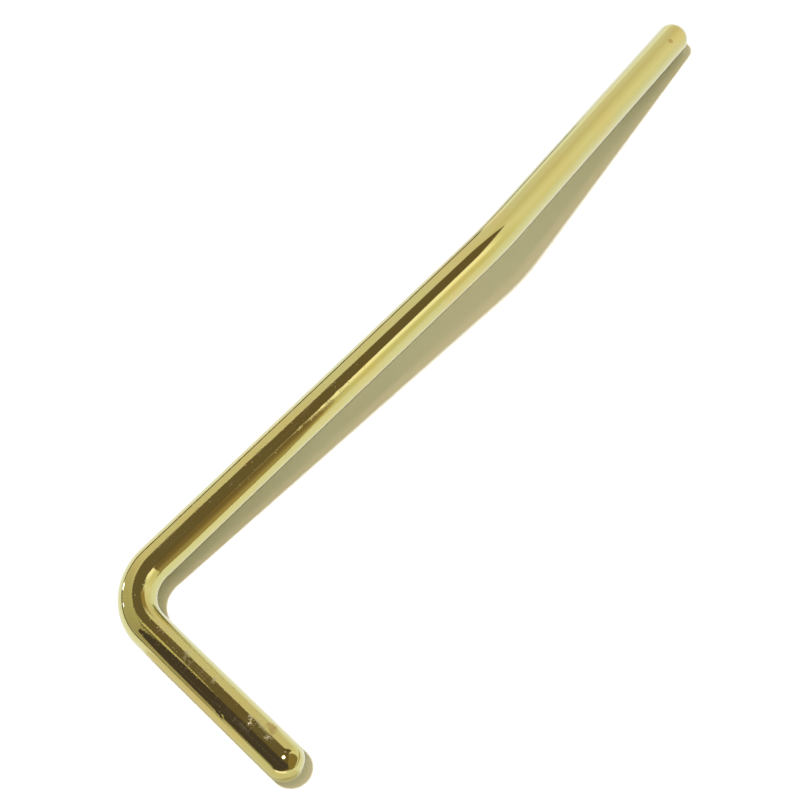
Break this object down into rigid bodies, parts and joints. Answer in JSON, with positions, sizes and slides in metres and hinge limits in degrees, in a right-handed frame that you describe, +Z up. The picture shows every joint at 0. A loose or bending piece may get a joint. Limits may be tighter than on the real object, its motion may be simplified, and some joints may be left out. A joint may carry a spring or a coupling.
{
  "type": "guitar vibrato arm",
  "caption": "One-piece cranked metal rod with domed ends: a short socket leg, a right-angle corner and a long arm with a gentle crook.",
  "frame": {"origin": "centre of the bounding box's bottom face, on the surface the part lies on", "axes": "+Z up from that surface, +X from the corner along the long arm, -Y along the short leg towards its domed end"},
  "size_m": [0.1524, 0.0518, 0.0123],
  "materials": {
    "gold_plate": "bright polished gold plate on steel, pale greenish gold, fine scratches, worn where the short leg sits in its socket"
  },
  "bodies": {
    "root": {"arm_rod": "gold_plate"}
  },
  "joints": []
}
